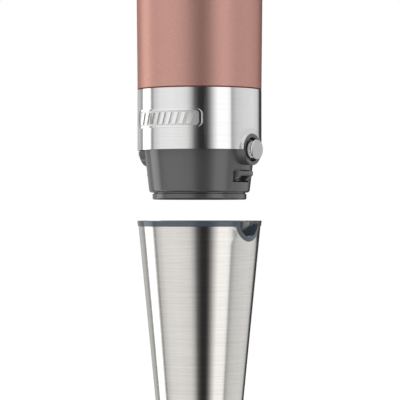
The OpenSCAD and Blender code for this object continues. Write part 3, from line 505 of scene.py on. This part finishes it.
def weld_bead():
    """The polished weld where the shaft's neck meets the guard."""
    joint_z = box("shaft_shell")[0].z
    r = radius_near("shaft_shell", joint_z)
    outline = [(r - 0.4 * MM, joint_z - 0.5 * MM), (r - 0.4 * MM, joint_z + 0.5 * MM)]
    for i in range(9):
        a = math.radians(90 - 180 * i / 8)
        outline.append((r - 0.02 * MM + 0.22 * MM * math.cos(a), joint_z + 0.45 * MM * math.sin(a)))
    lathe("weld_bead", outline, "shaft_unit", "shaft_steel")


power_symbol()
boost_ribs()
speed_marks()
weld_bead()


# ---------- floor, light and camera ----------

def floor():
    """A white floor that stays out of the reflections."""
    mesh = bpy.data.meshes.new("floor")
    side, z = 9.0, box("blade_guard")[0].z - 0.3 * MM
    mesh.from_pydata([(-side, -side, z), (side, -side, z), (side, side, z), (-side, side, z)], [],
                     [(0, 1, 2, 3)])
    plane = bpy.data.objects.new("floor", mesh)
    bpy.context.scene.collection.objects.link(plane)
    f = Finish("floor", Base_Color=(0.86, 0.86, 0.86, 1.0), Roughness=0.9, Emission_Strength=0.32,
               Emission_Color=WHITE)
    mesh.materials.append(f.material)
    plane.visible_glossy = False


def studio():
    """A white room with upright panels round the object: soft grey walls, two bright panels and a
    dark gap between them, placed by their angle from the camera."""
    world = bpy.data.worlds.new("studio")
    bpy.context.scene.world = world
    room = Graph(world)
    direction = room.add("TexCoord").outputs["Generated"]

    def dot(*vector):
        return room.add("VectorMath", {0: direction, 1: vector}, operation="DOT_PRODUCT").outputs["Value"]

    a = math.radians(VIEW_AZIMUTH)
    ahead, right, up = dot(math.sin(a), -math.cos(a), 0), dot(math.cos(a), math.sin(a), 0), dot(0, 0, 1)
    turn = room.math("DIVIDE", room.math("ARCTAN2", right, ahead), 2 * math.pi)
    # The panels lean a little: what the tapered shaft mirrors from below lies further to the right
    lean, half_turn = 0.045, 0.5
    turn = room.math("ADD", turn, room.math("MULTIPLY_ADD", up, lean, half_turn))
    # (degrees to the right of the camera, brightness)
    panels = [
        (-180, 0.45), (-150, 0.59), (-139, 0.46), (-131, 0.26), (-127, 1.6), (-105, 1.6), (-99, 0.30),
        (-96, 0.34), (-92, 0.64), (-76, 0.86), (-52, 0.90), (-30, 0.84), (-22, 0.76), (-14.5, 0.48),
        (-8, 0.13), (0, 0.034), (9, 0.028), (14, 0.07), (20, 0.30), (28, 0.80), (35, 1.16), (52, 1.16),
        (59.5, 1.02), (62.5, 0.40), (66, 0.50), (74, 0.66), (90, 0.74), (116, 0.80), (134, 0.68),
        (143, 0.40), (148, 0.06), (166, 0.05),
    ]
    ramp = room.add("ValToRGB", {0: turn})
    ramp.color_ramp.interpolation = "LINEAR"
    stops = ramp.color_ramp.elements
    for i, (degrees, level) in enumerate(panels):
        at = (degrees + 180) / 360
        stop = stops[i] if i < 2 else stops.new(at)
        stop.position = at
        stop.color = (level, level, level, 1.0)
    # Below the horizon the room is a little darker and warmer, and overhead it is bright
    warm = (0.89, 0.875, 0.85, 1.0)
    tint = room.mix(room.range(up, -0.35, 0.1), warm, WHITE)
    walls = room.mix(1.0, ramp.outputs["Color"], tint, blend="MULTIPLY")
    whole = room.mix(room.range(up, 0.55, 0.9), walls, WHITE)
    seen = room.mix(room.add("LightPath").outputs["Is Camera Ray"], whole, WHITE)
    background = room.add("Background", {"Color": seen, "Strength": 1.0})
    room.add("OutputWorld", {"Surface": background.outputs[0]})


def softbox(name, place, aim, size, power):
    """A large soft lamp. It lights the matt surfaces and stays out of the reflections."""
    data = bpy.data.lights.new(name, "AREA")
    data.shape = "RECTANGLE"
    data.size, data.size_y = size
    data.energy = power
    lamp = bpy.data.objects.new(name, data)
    lamp.location = place
    lamp.rotation_mode = "QUATERNION"
    lamp.rotation_quaternion = (Vector(aim) - Vector(place)).to_track_quat("-Z", "Y")
    lamp.visible_glossy = False
    bpy.context.scene.collection.objects.link(lamp)


def camera():
    """A metre off, level with the shaft's rim, and framed on the gap between the two halves."""
    distance, frame_height, sensor = 1.0, 0.2, 36
    rim_top = box("socket_liner")[1].z
    eye_above_rim, aim_above_rim, aim_right = 3 * MM, 10.3 * MM, 0.25 * MM
    a = math.radians(VIEW_AZIMUTH)
    right = Vector((math.cos(a), math.sin(a), 0))
    aim = right * aim_right + Vector((0, 0, rim_top + aim_above_rim))
    data = bpy.data.cameras.new("camera")
    data.sensor_width = sensor
    data.lens = sensor * distance / frame_height
    data.clip_start, data.clip_end = 0.05, 50
    view = bpy.data.objects.new("camera", data)
    view.location = Vector((distance * math.sin(a), -distance * math.cos(a), rim_top + eye_above_rim))
    view.rotation_mode = "QUATERNION"
    view.rotation_quaternion = (aim - view.location).to_track_quat("-Z", "Y")
    bpy.context.scene.collection.objects.link(view)
    bpy.context.scene.camera = view


floor()
studio()
softbox("key", place=(-0.9, -1.6, 1.7), aim=(0, 0, 0.2), size=(1.2, 1.2), power=12)
camera()
bpy.context.scene.view_settings.view_transform = "Standard"
bpy.context.scene.view_settings.look = "None"
